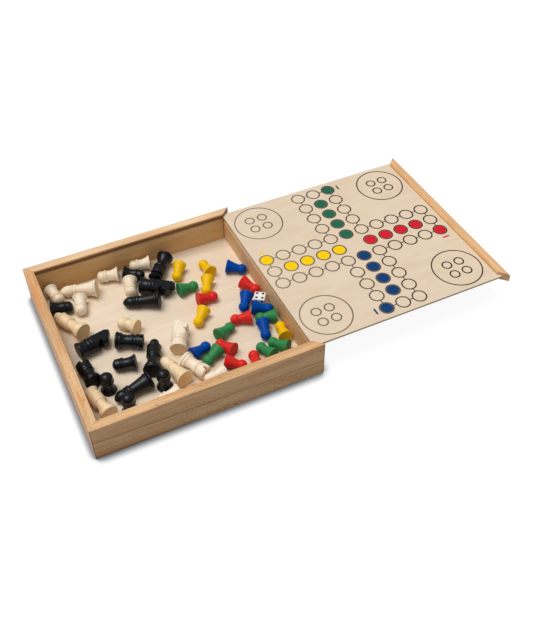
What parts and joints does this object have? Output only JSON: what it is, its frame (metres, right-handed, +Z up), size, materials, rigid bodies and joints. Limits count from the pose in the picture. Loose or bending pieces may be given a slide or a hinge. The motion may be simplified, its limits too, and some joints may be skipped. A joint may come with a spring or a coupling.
{
  "type": "games compendium box",
  "caption": "Shallow mitred wooden tray box with a grooved sliding game board lid, holding turned chess pieces, ludo men and a die.",
  "frame": {"origin": "middle of the box's underside, without the drawn-out lid", "axes": "+X the way the lid draws out, +Y to the back wall, +Z up"},
  "size_m": [0.561, 0.286, 0.052],
  "materials": {
    "wall_beech": "clear satin lacquer on beech, mitred corners",
    "floor_plywood": "bare pale plywood",
    "lid_plywood": "pale birch plywood, printed board, thin clear lacquer",
    "batten_beech": "clear satin lacquer on beech",
    "gloss_red": "gloss paint on turned wood",
    "gloss_blue": "gloss paint on turned wood",
    "gloss_green": "gloss paint on turned wood",
    "gloss_yellow": "gloss paint on turned wood",
    "natural_turned_wood": "thin clear lacquer on turned wood",
    "black_turned_wood": "black satin stain and lacquer on turned wood",
    "die_white": "glossy white with black pips"
  },
  "bodies": {
    "box": {"wall_front": "wall_beech", "wall_back": "wall_beech", "wall_left": "wall_beech", "wall_right": "wall_beech", "floor_panel": "floor_plywood"},
    "lid": {"lid_board": "lid_plywood", "lid_batten": "batten_beech"},
    "loose_bishop_dark_1": {"bishop_dark_1": "black_turned_wood"},
    "loose_bishop_dark_2": {"bishop_dark_2": "black_turned_wood"},
    "loose_bishop_light_1": {"bishop_light_1": "natural_turned_wood"},
    "loose_bishop_light_2": {"bishop_light_2": "natural_turned_wood"},
    "loose_die": {"die": "die_white"},
    "loose_king_dark_1": {"king_dark_1": "black_turned_wood"},
    "loose_king_light_1": {"king_light_1": "natural_turned_wood"},
    "loose_knight_dark_1": {"knight_dark_1": "black_turned_wood"},
    "loose_knight_dark_2": {"knight_dark_2": "black_turned_wood"},
    "loose_knight_light_1": {"knight_light_1": "natural_turned_wood"},
    "loose_ludo_man_blue_1": {"ludo_man_blue_1": "gloss_blue"},
    "loose_ludo_man_blue_2": {"ludo_man_blue_2": "gloss_blue"},
    "loose_ludo_man_blue_3": {"ludo_man_blue_3": "gloss_blue"},
    "loose_ludo_man_blue_4": {"ludo_man_blue_4": "gloss_blue"},
    "loose_ludo_man_blue_5": {"ludo_man_blue_5": "gloss_blue"},
    "loose_ludo_man_blue_6": {"ludo_man_blue_6": "gloss_blue"},
    "loose_ludo_man_green_1": {"ludo_man_green_1": "gloss_green"},
    "loose_ludo_man_green_2": {"ludo_man_green_2": "gloss_green"},
    "loose_ludo_man_green_3": {"ludo_man_green_3": "gloss_green"},
    "loose_ludo_man_green_4": {"ludo_man_green_4": "gloss_green"},
    "loose_ludo_man_green_5": {"ludo_man_green_5": "gloss_green"},
    "loose_ludo_man_green_6": {"ludo_man_green_6": "gloss_green"},
    "loose_ludo_man_red_1": {"ludo_man_red_1": "gloss_red"},
    "loose_ludo_man_red_2": {"ludo_man_red_2": "gloss_red"},
    "loose_ludo_man_red_3": {"ludo_man_red_3": "gloss_red"},
    "loose_ludo_man_red_4": {"ludo_man_red_4": "gloss_red"},
    "loose_ludo_man_red_5": {"ludo_man_red_5": "gloss_red"},
    "loose_ludo_man_red_6": {"ludo_man_red_6": "gloss_red"},
    "loose_ludo_man_yellow_1": {"ludo_man_yellow_1": "gloss_yellow"},
    "loose_ludo_man_yellow_2": {"ludo_man_yellow_2": "gloss_yellow"},
    "loose_ludo_man_yellow_3": {"ludo_man_yellow_3": "gloss_yellow"},
    "loose_ludo_man_yellow_4": {"ludo_man_yellow_4": "gloss_yellow"},
    "loose_ludo_man_yellow_5": {"ludo_man_yellow_5": "gloss_yellow"},
    "loose_ludo_man_yellow_6": {"ludo_man_yellow_6": "gloss_yellow"},
    "loose_pawn_dark_1": {"pawn_dark_1": "black_turned_wood"},
    "loose_pawn_dark_2": {"pawn_dark_2": "black_turned_wood"},
    "loose_pawn_dark_3": {"pawn_dark_3": "black_turned_wood"},
    "loose_pawn_dark_4": {"pawn_dark_4": "black_turned_wood"},
    "loose_pawn_dark_5": {"pawn_dark_5": "black_turned_wood"},
    "loose_pawn_dark_6": {"pawn_dark_6": "black_turned_wood"},
    "loose_pawn_light_1": {"pawn_light_1": "natural_turned_wood"},
    "loose_pawn_light_2": {"pawn_light_2": "natural_turned_wood"},
    "loose_pawn_light_3": {"pawn_light_3": "natural_turned_wood"},
    "loose_pawn_light_4": {"pawn_light_4": "natural_turned_wood"},
    "loose_pawn_light_5": {"pawn_light_5": "natural_turned_wood"},
    "loose_pawn_light_6": {"pawn_light_6": "natural_turned_wood"},
    "loose_pawn_light_7": {"pawn_light_7": "natural_turned_wood"},
    "loose_pawn_light_8": {"pawn_light_8": "natural_turned_wood"},
    "loose_queen_dark_1": {"queen_dark_1": "black_turned_wood"},
    "loose_queen_light_1": {"queen_light_1": "natural_turned_wood"},
    "loose_rook_dark_1": {"rook_dark_1": "black_turned_wood"},
    "loose_rook_dark_2": {"rook_dark_2": "black_turned_wood"},
    "loose_rook_light_1": {"rook_light_1": "natural_turned_wood"}
  },
  "joints": [
    {"name": "lid_slide", "type": "slide", "parent": "box", "child": "lid", "axis": [1, 0, 0], "range_m": [-0.271, 0.054]},
    {"name": "lift_bishop_dark_1", "type": "slide", "parent": "box", "child": "loose_bishop_dark_1", "axis": [0, 0, 1], "range_m": [0, 0.06]},
    {"name": "lift_bishop_dark_2", "type": "slide", "parent": "box", "child": "loose_bishop_dark_2", "axis": [0, 0, 1], "range_m": [0, 0.06]},
    {"name": "lift_bishop_light_1", "type": "slide", "parent": "box", "child": "loose_bishop_light_1", "axis": [0, 0, 1], "range_m": [0, 0.06]},
    {"name": "lift_bishop_light_2", "type": "slide", "parent": "box", "child": "loose_bishop_light_2", "axis": [0, 0, 1], "range_m": [0, 0.06]},
    {"name": "lift_die", "type": "slide", "parent": "box", "child": "loose_die", "axis": [0, 0, 1], "range_m": [0, 0.06]},
    {"name": "lift_king_dark_1", "type": "slide", "parent": "box", "child": "loose_king_dark_1", "axis": [0, 0, 1], "range_m": [0, 0.06]},
    {"name": "lift_king_light_1", "type": "slide", "parent": "box", "child": "loose_king_light_1", "axis": [0, 0, 1], "range_m": [0, 0.06]},
    {"name": "lift_knight_dark_1", "type": "slide", "parent": "box", "child": "loose_knight_dark_1", "axis": [0, 0, 1], "range_m": [0, 0.06]},
    {"name": "lift_knight_dark_2", "type": "slide", "parent": "box", "child": "loose_knight_dark_2", "axis": [0, 0, 1], "range_m": [0, 0.06]},
    {"name": "lift_knight_light_1", "type": "slide", "parent": "box", "child": "loose_knight_light_1", "axis": [0, 0, 1], "range_m": [0, 0.06]},
    {"name": "lift_ludo_man_blue_1", "type": "slide", "parent": "box", "child": "loose_ludo_man_blue_1", "axis": [0, 0, 1], "range_m": [0, 0.06]},
    {"name": "lift_ludo_man_blue_2", "type": "slide", "parent": "box", "child": "loose_ludo_man_blue_2", "axis": [0, 0, 1], "range_m": [0, 0.06]},
    {"name": "lift_ludo_man_blue_3", "type": "slide", "parent": "box", "child": "loose_ludo_man_blue_3", "axis": [0, 0, 1], "range_m": [0, 0.06]},
    {"name": "lift_ludo_man_blue_4", "type": "slide", "parent": "box", "child": "loose_ludo_man_blue_4", "axis": [0, 0, 1], "range_m": [0, 0.06]},
    {"name": "lift_ludo_man_blue_5", "type": "slide", "parent": "box", "child": "loose_ludo_man_blue_5", "axis": [0, 0, 1], "range_m": [0, 0.06]},
    {"name": "lift_ludo_man_blue_6", "type": "slide", "parent": "box", "child": "loose_ludo_man_blue_6", "axis": [0, 0, 1], "range_m": [0, 0.06]},
    {"name": "lift_ludo_man_green_1", "type": "slide", "parent": "box", "child": "loose_ludo_man_green_1", "axis": [0, 0, 1], "range_m": [0, 0.06]},
    {"name": "lift_ludo_man_green_2", "type": "slide", "parent": "box", "child": "loose_ludo_man_green_2", "axis": [0, 0, 1], "range_m": [0, 0.06]},
    {"name": "lift_ludo_man_green_3", "type": "slide", "parent": "box", "child": "loose_ludo_man_green_3", "axis": [0, 0, 1], "range_m": [0, 0.06]},
    {"name": "lift_ludo_man_green_4", "type": "slide", "parent": "box", "child": "loose_ludo_man_green_4", "axis": [0, 0, 1], "range_m": [0, 0.06]},
    {"name": "lift_ludo_man_green_5", "type": "slide", "parent": "box", "child": "loose_ludo_man_green_5", "axis": [0, 0, 1], "range_m": [0, 0.06]},
    {"name": "lift_ludo_man_green_6", "type": "slide", "parent": "box", "child": "loose_ludo_man_green_6", "axis": [0, 0, 1], "range_m": [0, 0.06]},
    {"name": "lift_ludo_man_red_1", "type": "slide", "parent": "box", "child": "loose_ludo_man_red_1", "axis": [0, 0, 1], "range_m": [0, 0.06]},
    {"name": "lift_ludo_man_red_2", "type": "slide", "parent": "box", "child": "loose_ludo_man_red_2", "axis": [0, 0, 1], "range_m": [0, 0.06]},
    {"name": "lift_ludo_man_red_3", "type": "slide", "parent": "box", "child": "loose_ludo_man_red_3", "axis": [0, 0, 1], "range_m": [0, 0.06]},
    {"name": "lift_ludo_man_red_4", "type": "slide", "parent": "box", "child": "loose_ludo_man_red_4", "axis": [0, 0, 1], "range_m": [0, 0.06]},
    {"name": "lift_ludo_man_red_5", "type": "slide", "parent": "box", "child": "loose_ludo_man_red_5", "axis": [0, 0, 1], "range_m": [0, 0.06]},
    {"name": "lift_ludo_man_red_6", "type": "slide", "parent": "box", "child": "loose_ludo_man_red_6", "axis": [0, 0, 1], "range_m": [0, 0.06]},
    {"name": "lift_ludo_man_yellow_1", "type": "slide", "parent": "box", "child": "loose_ludo_man_yellow_1", "axis": [0, 0, 1], "range_m": [0, 0.06]},
    {"name": "lift_ludo_man_yellow_2", "type": "slide", "parent": "box", "child": "loose_ludo_man_yellow_2", "axis": [0, 0, 1], "range_m": [0, 0.06]},
    {"name": "lift_ludo_man_yellow_3", "type": "slide", "parent": "box", "child": "loose_ludo_man_yellow_3", "axis": [0, 0, 1], "range_m": [0, 0.06]},
    {"name": "lift_ludo_man_yellow_4", "type": "slide", "parent": "box", "child": "loose_ludo_man_yellow_4", "axis": [0, 0, 1], "range_m": [0, 0.06]},
    {"name": "lift_ludo_man_yellow_5", "type": "slide", "parent": "box", "child": "loose_ludo_man_yellow_5", "axis": [0, 0, 1], "range_m": [0, 0.06]},
    {"name": "lift_ludo_man_yellow_6", "type": "slide", "parent": "box", "child": "loose_ludo_man_yellow_6", "axis": [0, 0, 1], "range_m": [0, 0.06]},
    {"name": "lift_pawn_dark_1", "type": "slide", "parent": "box", "child": "loose_pawn_dark_1", "axis": [0, 0, 1], "range_m": [0, 0.06]},
    {"name": "lift_pawn_dark_2", "type": "slide", "parent": "box", "child": "loose_pawn_dark_2", "axis": [0, 0, 1], "range_m": [0, 0.06]},
    {"name": "lift_pawn_dark_3", "type": "slide", "parent": "box", "child": "loose_pawn_dark_3", "axis": [0, 0, 1], "range_m": [0, 0.06]},
    {"name": "lift_pawn_dark_4", "type": "slide", "parent": "box", "child": "loose_pawn_dark_4", "axis": [0, 0, 1], "range_m": [0, 0.06]},
    {"name": "lift_pawn_dark_5", "type": "slide", "parent": "box", "child": "loose_pawn_dark_5", "axis": [0, 0, 1], "range_m": [0, 0.06]},
    {"name": "lift_pawn_dark_6", "type": "slide", "parent": "box", "child": "loose_pawn_dark_6", "axis": [0, 0, 1], "range_m": [0, 0.06]},
    {"name": "lift_pawn_light_1", "type": "slide", "parent": "box", "child": "loose_pawn_light_1", "axis": [0, 0, 1], "range_m": [0, 0.06]},
    {"name": "lift_pawn_light_2", "type": "slide", "parent": "box", "child": "loose_pawn_light_2", "axis": [0, 0, 1], "range_m": [0, 0.06]},
    {"name": "lift_pawn_light_3", "type": "slide", "parent": "box", "child": "loose_pawn_light_3", "axis": [0, 0, 1], "range_m": [0, 0.06]},
    {"name": "lift_pawn_light_4", "type": "slide", "parent": "box", "child": "loose_pawn_light_4", "axis": [0, 0, 1], "range_m": [0, 0.06]},
    {"name": "lift_pawn_light_5", "type": "slide", "parent": "box", "child": "loose_pawn_light_5", "axis": [0, 0, 1], "range_m": [0, 0.06]},
    {"name": "lift_pawn_light_6", "type": "slide", "parent": "box", "child": "loose_pawn_light_6", "axis": [0, 0, 1], "range_m": [0, 0.06]},
    {"name": "lift_pawn_light_7", "type": "slide", "parent": "box", "child": "loose_pawn_light_7", "axis": [0, 0, 1], "range_m": [0, 0.06]},
    {"name": "lift_pawn_light_8", "type": "slide", "parent": "box", "child": "loose_pawn_light_8", "axis": [0, 0, 1], "range_m": [0, 0.06]},
    {"name": "lift_queen_dark_1", "type": "slide", "parent": "box", "child": "loose_queen_dark_1", "axis": [0, 0, 1], "range_m": [0, 0.06]},
    {"name": "lift_queen_light_1", "type": "slide", "parent": "box", "child": "loose_queen_light_1", "axis": [0, 0, 1], "range_m": [0, 0.06]},
    {"name": "lift_rook_dark_1", "type": "slide", "parent": "box", "child": "loose_rook_dark_1", "axis": [0, 0, 1], "range_m": [0, 0.06]},
    {"name": "lift_rook_dark_2", "type": "slide", "parent": "box", "child": "loose_rook_dark_2", "axis": [0, 0, 1], "range_m": [0, 0.06]},
    {"name": "lift_rook_light_1", "type": "slide", "parent": "box", "child": "loose_rook_light_1", "axis": [0, 0, 1], "range_m": [0, 0.06]}
  ]
}
